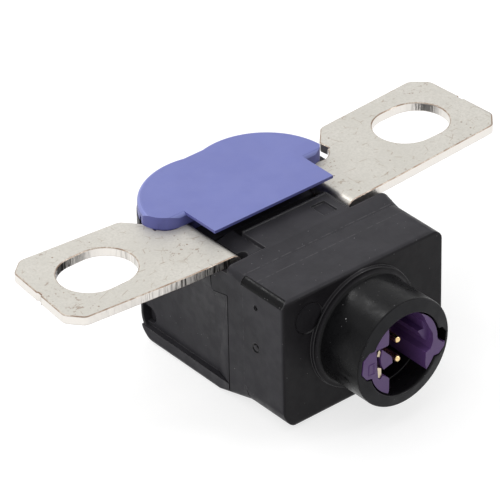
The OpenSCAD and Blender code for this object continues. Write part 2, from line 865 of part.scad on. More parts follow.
module piston_o_ring() {
    color([0.07, 0.07, 0.07]) on_axis() o_ring(piston_d / 2 - 0.39, 0.35, 7.7);
}

busbar();
top_cover();
front_housing();
rear_housing();
die_block();
catch_block();
connector_retainer();
shorting_clip();
initiator_holder();
initiator_header();
glass_seal();
upper_pin();
lower_pin();
initiator_cup();
initiator_charge();
initiator_o_ring();
pressure_sleeve();
cutter_piston();
piston_o_ring();
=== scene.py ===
# %% [markdown]
# # Battery disconnect fuse: looks
# A tinned copper strip with two slotted ends is clamped in a black housing. A lilac-blue cap
# covers its middle, and a round socket with a purple retainer stands out of the front.
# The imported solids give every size. This lesson rounds their edges and gives them finishes.

# %% Tools and the fixed frame
import json
import math

import bpy
from mathutils import Matrix, Vector
from mathutils.bvhtree import BVHTree

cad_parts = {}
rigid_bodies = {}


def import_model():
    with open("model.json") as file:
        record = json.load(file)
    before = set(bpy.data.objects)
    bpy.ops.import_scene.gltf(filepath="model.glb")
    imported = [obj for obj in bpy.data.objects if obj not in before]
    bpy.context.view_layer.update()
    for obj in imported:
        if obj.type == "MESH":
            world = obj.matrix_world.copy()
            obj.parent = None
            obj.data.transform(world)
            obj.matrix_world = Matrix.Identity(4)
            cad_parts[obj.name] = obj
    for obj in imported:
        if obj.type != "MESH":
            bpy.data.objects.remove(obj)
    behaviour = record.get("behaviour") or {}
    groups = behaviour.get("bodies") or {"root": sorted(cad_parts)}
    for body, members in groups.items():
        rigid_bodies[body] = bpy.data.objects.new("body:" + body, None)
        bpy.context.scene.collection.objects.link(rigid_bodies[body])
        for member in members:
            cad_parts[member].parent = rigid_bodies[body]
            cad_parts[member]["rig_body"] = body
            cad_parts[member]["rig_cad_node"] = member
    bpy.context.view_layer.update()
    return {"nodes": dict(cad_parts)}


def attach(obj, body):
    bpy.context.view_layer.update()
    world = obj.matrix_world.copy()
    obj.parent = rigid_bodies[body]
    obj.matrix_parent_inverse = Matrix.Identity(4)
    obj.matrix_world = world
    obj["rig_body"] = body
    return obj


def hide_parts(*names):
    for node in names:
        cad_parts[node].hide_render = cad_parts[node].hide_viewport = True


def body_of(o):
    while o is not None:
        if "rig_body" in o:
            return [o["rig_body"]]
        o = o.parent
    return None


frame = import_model()
MM = 0.001

# %% [markdown]
# ## The camera
# The photograph is taken from far away with a long lens, looking down on the front left.
# The viewpoint is given as a turn, a tilt and a small roll round the collar's root. A camera
# could also be aimed with a constraint, but three angles are easier to read and to repeat.

# %% Camera at the photograph's angle, lengths in millimetres
AZIMUTH, ELEVATION, ROLL = (math.radians(x) for x in (39.178, 33.603, -1.266))
DISTANCE = 494.0
LENS, SENSOR = 288.0, 36.0
CLIP_NEAR_M, CLIP_FAR_M = 0.01, 20
ASIDE, UPWARD = 19.011, -12.761
LOOK_FROM = Vector((0.45, 28.3, 8.2))


def camera_axes():
    """Right, up and backward directions of the camera in the row frame."""
    back = Vector((
        -math.sin(AZIMUTH) * math.cos(ELEVATION),
        -math.cos(AZIMUTH) * math.cos(ELEVATION),
        math.sin(ELEVATION),
    ))
    flat_right = Vector((math.cos(AZIMUTH), -math.sin(AZIMUTH), 0))
    flat_up = back.cross(flat_right)
    right = flat_right * math.cos(ROLL) + flat_up * math.sin(ROLL)
    up = flat_up * math.cos(ROLL) - flat_right * math.sin(ROLL)
    return right, up, back


right, up, back = camera_axes()
camera_data = bpy.data.cameras.new("camera")
camera_data.lens = LENS
camera_data.sensor_width = SENSOR
camera_data.clip_start, camera_data.clip_end = CLIP_NEAR_M, CLIP_FAR_M
camera = bpy.data.objects.new("camera", camera_data)
bpy.context.scene.collection.objects.link(camera)
place = DISTANCE * back - ASIDE * right - UPWARD * up - LOOK_FROM
turn = Matrix((right, up, back)).transposed()
camera.matrix_world = Matrix.Translation(place * MM) @ turn.to_4x4()
bpy.context.scene.camera = camera
bpy.context.scene.view_settings.view_transform = "Standard"
print("camera at", [round(x, 1) for x in place], "mm")

# %% [markdown]
# ## The studio
# The part lies on a plain pale floor. Large soft lamps and a pale world light it, so the
# metal shows broad pale reflections and the black plastic keeps a gentle shine. The floor and
# the world are white where the camera or a reflection sees them, which keeps the lamps low.
# The two large lamps don't mirror in the part, because the white round it already does. Two
# small ones do, and draw the soft highlights on the collar and along the front edges.

# %% A plain material to start from
def plain_material(name, colour, roughness):
    """A material whose only node is its shader."""
    material = bpy.data.materials.new(name)
    material.use_nodes = True
    shader = material.node_tree.nodes["Principled BSDF"]
    shader.inputs["Base Color"].default_value = (*colour, 1)
    shader.inputs["Roughness"].default_value = roughness
    return material


# %% Sums in a shader
def maths(tree, operation, *values):
    """The result of a Math node. Each value is a number or a socket."""
    node = tree.nodes.new("ShaderNodeMath")
    node.operation = operation
    for socket, value in zip(node.inputs, values):
        if isinstance(value, (int, float)):
            socket.default_value = value
        else:
            tree.links.new(value, socket)
    return node.outputs[0]


# %% Where a ray comes from
def seen_directly(tree):
    """1 for rays from the camera and for mirror and glass rays, 0 for the light on the object."""
    rays = tree.nodes.new("ShaderNodeLightPath")
    seen = rays.outputs["Is Camera Ray"]
    for kind in ("Is Glossy Ray", "Is Transmission Ray"):
        seen = maths(tree, "MAXIMUM", seen, rays.outputs[kind])
    return seen


# %% Floor
FLOOR_Z = -18.8 * MM
FLOOR_GLOW = 0.72
FLOOR_SIZE_M = 6
FLOOR_GREY = (0.35, 0.35, 0.35)
WHITE = (1, 1, 1, 1)

bpy.ops.object.select_all(action="DESELECT")
bpy.ops.mesh.primitive_plane_add(size=FLOOR_SIZE_M, location=(0, 0, FLOOR_Z))
floor = bpy.context.object
floor.name = "floor"
floor_white = plain_material("floor_white", FLOOR_GREY, 0.9)
floor.data.materials.append(floor_white)

# %% White towards the camera
tree = floor_white.node_tree
shader = tree.nodes["Principled BSDF"]
glow = tree.nodes.new("ShaderNodeEmission")
glow.inputs["Color"].default_value = WHITE
glow.inputs["Strength"].default_value = FLOOR_GLOW
both = tree.nodes.new("ShaderNodeAddShader")
choice = tree.nodes.new("ShaderNodeMixShader")
tree.links.new(shader.outputs[0], both.inputs[0])
tree.links.new(glow.outputs[0], both.inputs[1])
tree.links.new(seen_directly(tree), choice.inputs[0])
tree.links.new(shader.outputs[0], choice.inputs[1])
tree.links.new(both.outputs[0], choice.inputs[2])
tree.links.new(choice.outputs[0], tree.nodes["Material Output"].inputs["Surface"])
print("floor at", round(FLOOR_Z / MM, 1), "mm")

# %% World
WORLD_LIGHT, WORLD_SEEN = 0.16, 1.0
world = bpy.data.worlds.new("studio")
bpy.context.scene.world = world
world.use_nodes = True
tree = world.node_tree
background = tree.nodes["Background"]
background.inputs["Color"].default_value = WHITE
level = tree.nodes.new("ShaderNodeMapRange")
level.inputs["To Min"].default_value = WORLD_LIGHT
level.inputs["To Max"].default_value = WORLD_SEEN
tree.links.new(seen_directly(tree), level.inputs["Value"])
tree.links.new(level.outputs[0], background.inputs["Strength"])

# %% Lamps
LAMP_AWAY_M = 0.6


def soft_lamp(name, towards, size, glow):
    """A square lamp aimed at the part. A glow of 1 looks as bright as the white background."""
    data = bpy.data.lights.new(name, "AREA")
    data.size = size
    data.energy = glow * math.pi * size * size
    lamp = bpy.data.objects.new(name, data)
    bpy.context.scene.collection.objects.link(lamp)
    direction = Vector(towards).normalized()
    lamp.location = direction * LAMP_AWAY_M
    lamp.rotation_mode = "QUATERNION"
    lamp.rotation_quaternion = direction.to_track_quat("Z", "Y")
    return lamp


for lamp in (
    soft_lamp("top_lamp", (0.0, 0.45, 1), 1.1, 1.4),
    soft_lamp("left_lamp", (-1.0, -0.12, 0.3), 0.8, 1.3),
):
    lamp.visible_glossy = False
soft_lamp("collar_shine", (-0.05, 0.65, 0.77), 0.14, 9.0)
soft_lamp("edge_shine", (0.53, -0.55, 0.65), 0.12, 11.0)
print("studio ready")

# %% [markdown]
# ## Rounded copies of the solids
# Moulded plastic and stamped metal never have razor edges. A copy of each visible solid is
# merged, its flat faces are cleaned of needless triangles, and a small bevel catches the light.
# Weighted normals keep the flat faces flat beside their rounded edges. The copy then stands
# for the solid, which stays in the frame for collision.
# One short edge would hold a clamped bevel down everywhere. So the large pieces are rounded
# without the clamp, and the few vertices that overlap are put back on the surface.

# %% Selecting one object
def only(obj):
    """Makes obj the one selected and active object."""
    bpy.ops.object.select_all(action="DESELECT")
    obj.select_set(True)
    bpy.context.view_layer.objects.active = obj


# %% Merging the copy's triangles
MERGE_WITHIN = 2e-6
FLAT_WITHIN = math.radians(0.5)


def merge_triangles(obj):
    """Joins loose triangles and melts the ones that lie in one plane."""
    only(obj)
    bpy.ops.object.mode_set(mode="EDIT")
    bpy.ops.mesh.select_all(action="SELECT")
    bpy.ops.mesh.remove_doubles(threshold=MERGE_WITHIN)
    bpy.ops.mesh.dissolve_limited(angle_limit=FLAT_WITHIN)
    bpy.ops.object.mode_set(mode="OBJECT")
    if obj.data.has_custom_normals:
        bpy.ops.mesh.customdata_custom_splitnormals_clear()


# %% Rounding its edges
EDGE_ANGLE = math.radians(32)
SMOOTH_ANGLE = math.radians(48)


def surface_of(obj):
    """The surface of a piece as it is now, to measure from later."""
    mesh = obj.data
    return BVHTree.FromPolygons(
        [vertex.co for vertex in mesh.vertices], [face.vertices for face in mesh.polygons])


def pull_back_strays(obj, surface, reach):
    """Puts vertices that lie further than reach off the old surface back on it."""
    strays = 0
    for vertex in obj.data.vertices:
        near, _, _, away = surface.find_nearest(vertex.co)
        if away > reach:
            vertex.co = near
            strays += 1
    print(obj.name, "had", strays, "vertices put back on its surface")


def round_edges(obj, width, segments, clamp=True):
    """Bevels every edge that turns more than EDGE_ANGLE, in the piece's second material.

    clamp keeps the width down for all edges as soon as one short edge would overlap. Without
    it the few vertices that overlap are put back on the surface."""
    surface = surface_of(obj)
    while len(obj.data.materials) < 2:
        obj.data.materials.append(None)
    bevel = obj.modifiers.new("round edges", "BEVEL")
    bevel.material = 1
    bevel.width = width * MM
    bevel.segments = segments
    bevel.limit_method = "ANGLE"
    bevel.angle_limit = EDGE_ANGLE
    bevel.use_clamp_overlap = clamp
    bevel.miter_outer = "MITER_ARC"
    bpy.ops.object.modifier_apply(modifier=bevel.name)
    if not clamp:
        pull_back_strays(obj, surface, width * MM / 2)


def edges_that_turn(mesh):
    """Every edge between two faces, with the angle that it turns."""
    beside = {}
    for face in mesh.polygons:
        for key in face.edge_keys:
            beside.setdefault(key, []).append(face)
    for edge in mesh.edges:
        pair = beside.get(edge.key, ())
        if len(pair) == 2:
            yield edge, pair, pair[0].normal.angle(pair[1].normal, 0)


def round_chosen(obj, wanted, width, segments):
    """Bevels the edges that turn more than EDGE_ANGLE and that wanted accepts by its ends."""
    only(obj)
    mesh = obj.data
    bpy.ops.object.mode_set(mode="EDIT")
    bpy.ops.mesh.select_mode(type="EDGE")
    bpy.ops.mesh.select_all(action="DESELECT")
    bpy.ops.object.mode_set(mode="OBJECT")
    for edge, pair, turn in edges_that_turn(mesh):
        ends = [mesh.vertices[i].co for i in edge.vertices]
        edge.select = turn > EDGE_ANGLE and wanted(*ends)
    bpy.ops.object.mode_set(mode="EDIT")
    bpy.ops.mesh.bevel(offset=width * MM, segments=segments, affect="EDGES", clamp_overlap=True)
    bpy.ops.object.mode_set(mode="OBJECT")


def shade_evenly(obj):
    """Smooth shading with flat faces kept flat."""
    bpy.ops.object.shade_smooth_by_angle(angle=SMOOTH_ANGLE)
    even = obj.modifiers.new("even shading", "WEIGHTED_NORMAL")
    even.keep_sharp = True
    even.weight = 90
    bpy.ops.object.modifier_apply(modifier=even.name)


# %% The copy that stands for its solid
def rounded_copy(node, name, width, segments=2, first=None, clamp=True):
    """A merged, bevelled copy of a CAD node with its own mesh, riding on the node's body.

    first shapes the merged copy before its edges are rounded."""
    source = frame["nodes"][node]
    obj = source.copy()
    obj.data = source.data.copy()
    obj.name = name
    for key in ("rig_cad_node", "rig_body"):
        if key in obj:
            del obj[key]
    bpy.context.scene.collection.objects.link(obj)
    obj.parent = None
    merge_triangles(obj)
    if first:
        first(obj)
    if width:
        round_edges(obj, width, segments, clamp)
    shade_evenly(obj)
    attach(obj, body_of(source)[0])
    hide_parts(node)
    on_edges = sum(face.material_index == 1 for face in obj.data.polygons)
    print(name, len(obj.data.polygons), "faces,", on_edges, "of them on rounded edges")
    return obj


# %% Soft corners of the tabs
TAB_END_X, NIB_Y = 31 * MM, 3 * MM
TAB_ROUND_MM = 0.45
STRAIGHT_WITHIN = 0.02 * MM


def tab_corner(one, other):
    """Upright edges at the ends of the tabs, beside the nib in the middle."""
    aside = abs(one.x - other.x) + abs(one.y - other.y)
    return aside < STRAIGHT_WITHIN and abs(one.x) > TAB_END_X and abs(one.y) > NIB_Y


def soften_tabs(obj):
    round_chosen(obj, tab_corner, TAB_ROUND_MM, 3)


# %% Crisp edges of the cap's plate
PLATE_LOW_Z = 2.5 * MM
PLATE_ROUND_MM = 0.09


def plate_edge(one, other):
    return min(one.z, other.z) > PLATE_LOW_Z


def soften_plate(obj):
    while len(obj.data.materials) < 2:
        obj.data.materials.append(None)
    round_chosen(obj, plate_edge, PLATE_ROUND_MM, 2)


# %% Soft sides of the retainer
CHEEK_ROUND_MM = 0.4
SHORTEST_SIDE = 0.3 * MM


def runs_into_bore(one, other):
    """Edges of the retainer that run along Y, into the bore."""
    aside = abs(one.x - other.x) + abs(one.z - other.z)
    return aside < STRAIGHT_WITHIN and abs(one.y - other.y) > SHORTEST_SIDE


def soften_retainer(obj):
    round_chosen(obj, runs_into_bore, CHEEK_ROUND_MM, 4)


# %% Crisp lines between the sunk panels
PANEL_ANGLE = math.radians(3)
SIDEWAYS = 0.9


def crisp_panels(obj):
    """Keeps the shallow edges between faces that look sideways from being smoothed over."""
    for edge, pair, turn in edges_that_turn(obj.data):
        sideways = all(abs(face.normal.x) > SIDEWAYS for face in pair)
        if sideways and turn > PANEL_ANGLE:
            edge.use_edge_sharp = True


# %% Copies of the pieces that can be seen
# Each call says the solid, the copy's name and the rounding in millimetres, and some also the
# segments and a first shaping step.
bar = rounded_copy("busbar", "bar", 0.16, 3, soften_tabs, clamp=False)
cap = rounded_copy("top_cover", "cap", 0, 2, soften_plate)
front_box = rounded_copy(
    "front_housing", "front_box", 0.09, clamp=False)
rear_shell = rounded_copy(
    "rear_housing", "rear_shell", 0.04, clamp=False)
crisp_panels(rear_shell)
retainer = rounded_copy(
    "connector_retainer", "retainer", 0.12, 3, soften_retainer)
contact_spring = rounded_copy("shorting_clip", "contact_spring", 0.05)
upper_contact = rounded_copy("upper_pin", "upper_contact", 0.12, 3)
lower_contact = rounded_copy("lower_pin", "lower_contact", 0.12, 3)

# %% [markdown]
# ## A web behind the cap's blunt corner
# The hollow under the cap comes out through its side at the blunt left corner, as a slit less
# than a millimetre high. On the real cap the wall is closed there. A small box, turned to lie
# along the wall just inside it, closes the slit without a change to the solid.

# %% The web
WALL_FROM, WALL_TO = Vector((-14.853, 2.303)) * MM, Vector((-14.17, 1.503)) * MM
WEB_LOW_Z, WEB_TOP_Z = 1.32 * MM, 2.3 * MM
WEB_THICK, WEB_BEHIND = 0.3 * MM, 0.02 * MM
WEB_SHARE = 0.9  # of the length of the wall

run = WALL_TO - WALL_FROM
inward = Vector((-run.y, run.x)).normalized()
middle = (WALL_FROM + WALL_TO) / 2 + inward * (WEB_THICK / 2 + WEB_BEHIND)
bpy.ops.object.select_all(action="DESELECT")
bpy.ops.mesh.primitive_cube_add(size=1)
cap_corner = bpy.context.object
cap_corner.name = "cap_corner"
cap_corner.scale = (run.length * WEB_SHARE, WEB_THICK, WEB_TOP_Z - WEB_LOW_Z)
cap_corner.rotation_euler = (0, 0, math.atan2(run.y, run.x))
cap_corner.location = (middle.x, middle.y, (WEB_LOW_Z + WEB_TOP_Z) / 2)
bpy.ops.object.transform_apply(location=True, rotation=True, scale=True)
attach(cap_corner, "fuse_body")
print("web behind the cap's corner:", round(run.length * WEB_SHARE / MM, 2), "mm wide")

# %% [markdown]
# ## The upright ribs at the back corners
# The sunk side panels end in a thin rib at each back corner, with a dark pocket in front of
# it. The solids leave the pocket open to the back, so the ribs are added here. Each starts as a
# box and its lower end is spun a little, so that it follows the round of the shell's back edge.

# %% Corner ribs
BODY_HALF = 13.25 * MM
BACK_Y = 8.6 * MM
RIB_WIDE, RIB_THICK = 1.7 * MM, 0.4 * MM
RIB_TOP, RIB_LOW = -1.2 * MM, -15.0 * MM
BACK_ROUND = 3.8 * MM
RIB_TURN = math.radians(36)
RIB_INSET = 0.26 * MM
RIB_STEPS = 6
RIB_ROUND_MM = 0.14


def corner_rib(name, side):
    """A thin upright rib at the back corner on one side, -1 left or 1 right."""
    bpy.ops.object.select_all(action="DESELECT")
    bpy.ops.mesh.primitive_cube_add(size=1)
    rib = bpy.context.object
    rib.name = name
    rib.scale = (RIB_WIDE, RIB_THICK, RIB_TOP - RIB_LOW)
    rib.location = (
        side * (BODY_HALF - RIB_INSET - RIB_WIDE / 2),
        BACK_Y - RIB_INSET / 2 - RIB_THICK / 2,
        (RIB_TOP + RIB_LOW) / 2,
    )
    bpy.ops.object.transform_apply(location=True, rotation=True, scale=True)
    bpy.ops.object.mode_set(mode="EDIT")
    bpy.ops.mesh.select_all(action="DESELECT")
    bpy.ops.object.mode_set(mode="OBJECT")
    for face in rib.data.polygons:
        face.select = face.normal.z < -0.9
    bpy.ops.object.mode_set(mode="EDIT")
    bpy.ops.mesh.spin(
        steps=RIB_STEPS, angle=RIB_TURN, center=(0, BACK_Y - BACK_ROUND, RIB_LOW), axis=(1, 0, 0))
    bpy.ops.mesh.select_all(action="SELECT")
    bpy.ops.mesh.remove_doubles(threshold=MERGE_WITHIN)
    bpy.ops.mesh.normals_make_consistent(inside=False)
    bpy.ops.object.mode_set(mode="OBJECT")
    round_edges(rib, RIB_ROUND_MM, 3)
    shade_evenly(rib)
    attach(rib, "fuse_body")
    low = min(v.co.z for v in rib.data.vertices)
    print(name, "down to", round(low / MM, 1), "mm")
    return rib


left_rib = corner_rib("left_corner_rib", -1)
right_rib = corner_rib("right_corner_rib", 1)

# %% [markdown]
# ## Building blocks for the finishes
# Every finish is a shader with patterns that follow the object's own coordinates, so nothing
# slides when the part turns. Two patterns do most of the work. Noise gives clouds, grain and
# streaks, and small cells give dust and scratches. Each comes back as a mask between 0 and 1,
# and masks then blend colours, change the roughness or press a little relief into the surface.

# %% Coordinates of a point
def point_on(tree, stretch=(1, 1, 1)):
    """The object's own coordinates, stretched."""
    where = tree.nodes.new("ShaderNodeTexCoord")
    scaled = tree.nodes.new("ShaderNodeMapping")
    scaled.inputs["Scale"].default_value = stretch
    tree.links.new(where.outputs["Object"], scaled.inputs["Vector"])
    return scaled.outputs[0]


# %% A mask from a value
def mask_between(tree, value, low, high):
    """0 where value is below low, 1 above high, soft between. low may be the larger."""
    ranged = tree.nodes.new("ShaderNodeMapRange")
    ranged.interpolation_type = "SMOOTHSTEP"
    ranged.inputs["From Min"].default_value = low
    ranged.inputs["From Max"].default_value = high
    tree.links.new(value, ranged.inputs["Value"])
    return ranged.outputs[0]


def times(tree, one, other):
    """The product of two masks."""
    return maths(tree, "MULTIPLY", one, other)


# %% Clouds, grain and streaks
def clouds(tree, size_mm, low=0.35, high=0.65, stretch=(1, 1, 1), detail=3.0):
    """A noise mask whose lumps are about size_mm across."""
    noise = tree.nodes.new("ShaderNodeTexNoise")
    noise.inputs["Scale"].default_value = 1 / (size_mm * MM)
    noise.inputs["Detail"].default_value = detail
    tree.links.new(point_on(tree, stretch), noise.inputs["Vector"])
    return mask_between(tree, noise.outputs["Fac"], low, high)


# %% Specks of dust
def specks(tree, spacing_mm, dot_mm, share):
    """Round dots: one in each cell of the given spacing, kept in a share of the cells."""
    cells = tree.nodes.new("ShaderNodeTexVoronoi")
    cells.inputs["Scale"].default_value = 1 / (spacing_mm * MM)
    tree.links.new(point_on(tree), cells.inputs["Vector"])
    reach = dot_mm / spacing_mm / 2
    dot = mask_between(tree, cells.outputs["Distance"], reach, reach * 0.6)
    split = tree.nodes.new("ShaderNodeSeparateColor")
    tree.links.new(cells.outputs["Color"], split.inputs[0])
    kept = mask_between(tree, split.outputs[0], share, share * 0.9)
    return times(tree, dot, kept)


# %% Fine scratches
def scratches(tree, spacing_mm, width_mm):
    """Thin crooked lines in scattered patches, as left by handling."""
    cells = tree.nodes.new("ShaderNodeTexVoronoi")
    cells.feature = "DISTANCE_TO_EDGE"
    cells.inputs["Scale"].default_value = 1 / (spacing_mm * MM)
    tree.links.new(point_on(tree), cells.inputs["Vector"])
    line = mask_between(tree, cells.outputs["Distance"], width_mm / spacing_mm, 0)
    return times(tree, line, clouds(tree, 1.1, 0.52, 0.6))


# %% Blending and relief
def blend_colour(tree, mask, first, second):
    """first where the mask is 0, second where it is 1. Each is a colour or a socket."""
    mix = tree.nodes.new("ShaderNodeMix")
    mix.data_type = "RGBA"
    tree.links.new(mask, mix.inputs["Factor"])
    for socket, value in ((mix.inputs[6], first), (mix.inputs[7], second)):
        if isinstance(value, tuple):
            socket.default_value = (*value, 1)
        else:
            tree.links.new(value, socket)
    return mix.outputs[2]


def paint(tree, colour):
    """Makes colour the shader's base colour."""
    tree.links.new(colour, tree.nodes["Principled BSDF"].inputs["Base Color"])


def vary_roughness(tree, mask, low, high):
    """Roughness low where the mask is 0, high where it is 1."""
    ranged = tree.nodes.new("ShaderNodeMapRange")
    ranged.inputs["To Min"].default_value = low
    ranged.inputs["To Max"].default_value = high
    tree.links.new(mask, ranged.inputs["Value"])
    tree.links.new(ranged.outputs[0], tree.nodes["Principled BSDF"].inputs["Roughness"])


def relief(tree, mask, height_mm, strength=1.0, below=None):
    """Presses the mask into the surface. Several reliefs are stacked with below."""
    bump = tree.nodes.new("ShaderNodeBump")
    bump.inputs["Strength"].default_value = strength
    bump.inputs["Distance"].default_value = height_mm * MM
    tree.links.new(mask, bump.inputs["Height"])
    if below:
        tree.links.new(below, bump.inputs["Normal"])
    tree.links.new(bump.outputs[0], tree.nodes["Principled BSDF"].inputs["Normal"])
    return bump.outputs[0]


# %% Finishes on a piece
def wear(obj, *finishes):
    """Gives a piece its finishes, slot by slot. The last one also fills the slots left over.

    Flat faces are in slot 0 and rounded edges in slot 1. give_slot adds further slots."""
    while len(obj.data.materials) < len(finishes):
        obj.data.materials.append(None)
    for index in range(len(obj.data.materials)):
        obj.data.materials[index] = finishes[min(index, len(finishes) - 1)]


def give_slot(obj, wanted):
    """Adds a material slot to a piece for the faces that wanted accepts."""
    obj.data.materials.append(None)
    index = len(obj.data.materials) - 1
    chosen = [face for face in obj.data.polygons if wanted(face)]
    for face in chosen:
        face.material_index = index
    print(obj.name, "slot", index, "has", len(chosen), "faces")

# %% [markdown]
# ## Tinned copper
# The strip is stamped from sheet, bent and then plated with tin. Tin is a soft cream silver
# that scuffs and pits easily. The punch leaves upright streaks on every sheared edge, which a
# noise stretched along Z gives. A brushed texture would be wrong here, since plating hides it.
# Along its edges the tin is worn, and the copper shows through as a thin brown line.
# The sheared sides beside the left neck and at the far end of the left slot are painted dark as
# painted shade, and by the neck also as a painted reflection of the black housing.

# %% Which way a face looks
def along(tree, output, axis):
    """One axis of the point's place (Object) or of its direction (Normal)."""
    where = tree.nodes.new("ShaderNodeTexCoord")
    parts = tree.nodes.new("ShaderNodeSeparateXYZ")
    tree.links.new(where.outputs[output], parts.inputs[0])
    return parts.outputs[axis]


def size_of(tree, value):
    """The value without its sign."""
    return maths(tree, "ABSOLUTE", value)


def upright(tree):
    """1 on faces that stand upright, 0 on faces that lie flat."""
    return mask_between(tree, size_of(tree, along(tree, "Normal", "Z")), 0.5, 0.15)


# %% Where shade is painted on the sheared edge
SHADED_NECK_X = ((-22 * MM, -19 * MM), (-11.5 * MM, -12.5 * MM))
SHADED_SLOT_X = ((-30.5 * MM, -30 * MM), (-26.5 * MM, -27 * MM))
SHADED_SLOT_Y = (5.2 * MM, 5 * MM)


def within(tree, value, rises, falls):
    """1 between two soft ends, each given as the places where it starts and is complete."""
    return times(tree, mask_between(tree, value, *rises), mask_between(tree, value, *falls))


def painted_shade_part(tree):
    """1 where shade is painted: on the front edge beside the left neck and at the far end of the
    left slot.
    """
    x = along(tree, "Object", "X")
    beside_neck = within(tree, x, *SHADED_NECK_X)
    inside = mask_between(tree, size_of(tree, along(tree, "Object", "Y")), *SHADED_SLOT_Y)
    in_slot = times(tree, within(tree, x, *SHADED_SLOT_X), inside)
    return maths(tree, "MAXIMUM", beside_neck, in_slot)


# %% Busbar finish
TIN, TIN_STAIN, TIN_GRAIN = (0.60, 0.578, 0.532), (0.56, 0.54, 0.493), (0.52, 0.50, 0.455)
EDGE_BROWN, EDGE_TIN, EDGE_GRAIN = (0.25, 0.17, 0.12), (0.62, 0.56, 0.49), (0.33, 0.25, 0.19)
PIT_BROWN, SCRATCH_BROWN, RUBBED_BROWN = (0.30, 0.24, 0.19), (0.40, 0.34, 0.28), (0.36, 0.30, 0.25)
SHEARED_TIN, PAINTED_SHADE_DARK = (0.80, 0.765, 0.72), (0.07, 0.065, 0.06)


def tinned_copper(name, light=TIN, stain=TIN_STAIN, grain_colour=TIN_GRAIN, cloud_mm=7):
    """Cream tin with clouds, brown pits and scuffs, and streaks on the sheared sides, some with
    painted shade.
    """
    material = plain_material(name, light, 0.45)
    tree = material.node_tree
    shader = tree.nodes["Principled BSDF"]
    stained = blend_colour(tree, clouds(tree, cloud_mm), light, stain)
    grainy = blend_colour(tree, clouds(tree, 0.3, 0.3, 0.75), stained, grain_colour)
    pitted = blend_colour(tree, specks(tree, 1.1, 0.34, 0.3), grainy, PIT_BROWN)
    rubbed = times(tree, clouds(tree, 0.5, 0.58, 0.66), clouds(tree, 3.5, 0.56, 0.64))
    scratched = blend_colour(tree, scratches(tree, 2.3, 0.07), pitted, SCRATCH_BROWN)
    flat_finish = blend_colour(tree, rubbed, scratched, RUBBED_BROWN)
    finish = blend_colour(tree, upright(tree), flat_finish, SHEARED_TIN)
    streaks = clouds(tree, 0.26, 0.42, 0.6, (1, 1, 0.05), 4.0)
    sheared = times(tree, streaks, upright(tree))
    # Painted shade: near black on the sheared sides beside the left neck, where it also stands for
    # the reflected black housing, and at the far end of the left slot.
    dark = times(tree, sheared, painted_shade_part(tree))
    paint(tree, blend_colour(tree, dark, finish, PAINTED_SHADE_DARK))
    flatness = size_of(tree, along(tree, "Normal", "Z"))
    tree.links.new(mask_between(tree, flatness, 1.25, 0.7), shader.inputs["Metallic"])
    vary_roughness(tree, mask_between(tree, flatness, 0.8, 0.98), 0.3, 0.5)
    grain = relief(tree, clouds(tree, 0.25, 0.2, 0.8), 0.01, 0.6)
    dents = relief(tree, specks(tree, 1.6, 0.4, 0.35), -0.03, 0.7, grain)
    relief(tree, sheared, -0.03, 0.6, dents)
    return material


wear(bar, tinned_copper("tin_plating"),
     tinned_copper("tin_on_edges", EDGE_BROWN, EDGE_TIN, EDGE_GRAIN, 1.8))
print("busbar finished")

# %% [markdown]
# ## The lilac-blue cap
# The cap is moulded from dyed nylon. Its skin is even and satin, with very slight clouds in
# the colour and a fine grain from the mould, which stop it from looking like painted glass.
# Its upright sides are painted a deeper blue as painted shade, and the rounded rim of its plate
# is painted paler as a painted highlight.

# %% Dyed nylon
PALE_DUST = (0.6, 0.6, 0.68)


def dyed_nylon(name, main, deeper, rough, painted_shade_sides=None):
    """Satin plastic with faint clouds, a fine grain, a little pale dust and, if a side colour is
    given, painted shade on upright faces.
    """
    material = plain_material(name, main, rough)
    tree = material.node_tree
    colour = blend_colour(tree, clouds(tree, 5), main, deeper)
    if painted_shade_sides:
        # Painted shade: the upright faces take the deeper side colour.
        colour = blend_colour(tree, upright(tree), colour, painted_shade_sides)
    paint(tree, blend_colour(tree, specks(tree, 1.8, 0.09, 0.2), colour, PALE_DUST))
    vary_roughness(tree, clouds(tree, 3), rough - 0.05, rough + 0.06)
    relief(tree, clouds(tree, 0.22, 0.2, 0.8), 0.004, 0.4)
    return material


# %% Finishes of the cap
def soft_upper_edge(face):
    """The rounded rim of the cap's plate, between its flat top and its sides, painted paler as a
    painted highlight.
    """
    return 0.25 < face.normal.z < 0.93 and face.center.z > PLATE_LOW_Z


give_slot(cap, soft_upper_edge)
LILAC, LILAC_CLOUD, LILAC_PAINTED_SHADE = (0.147, 0.169, 0.43), (0.138, 0.158, 0.41), (0.105, 0.112, 0.34)
LILAC_PAINTED_HIGHLIGHT, LILAC_HIGHLIGHT_CLOUD = (0.21, 0.235, 0.54), (0.195, 0.22, 0.51)
lilac = dyed_nylon("lilac_nylon", LILAC, LILAC_CLOUD, 0.44, LILAC_PAINTED_SHADE)
# Painted highlight: the rim and the rounded edges are painted paler than the flat top.
lilac_highlight = dyed_nylon("lilac_nylon_painted_highlight", LILAC_PAINTED_HIGHLIGHT, LILAC_HIGHLIGHT_CLOUD, 0.4)
wear(cap, lilac, lilac_highlight, lilac_highlight)
wear(cap_corner, lilac)
print("cap finished")

# %% [markdown]
# ## Black glass-filled nylon
# The housing is moulded from black nylon filled with glass fibre. Up close it is a dark grey
# satin with white dust caught in its grain, and pale hairlines where the top was creased.
# The front face and the collar are painted darker as painted shade, and the collar's front ring
# a little less dark. The polished left shoulder is painted near black as a painted reflection,
# the rounded edges are painted paler as a painted highlight, and the gap at the seam lies in
# shadow, so these faces take finishes of their own.

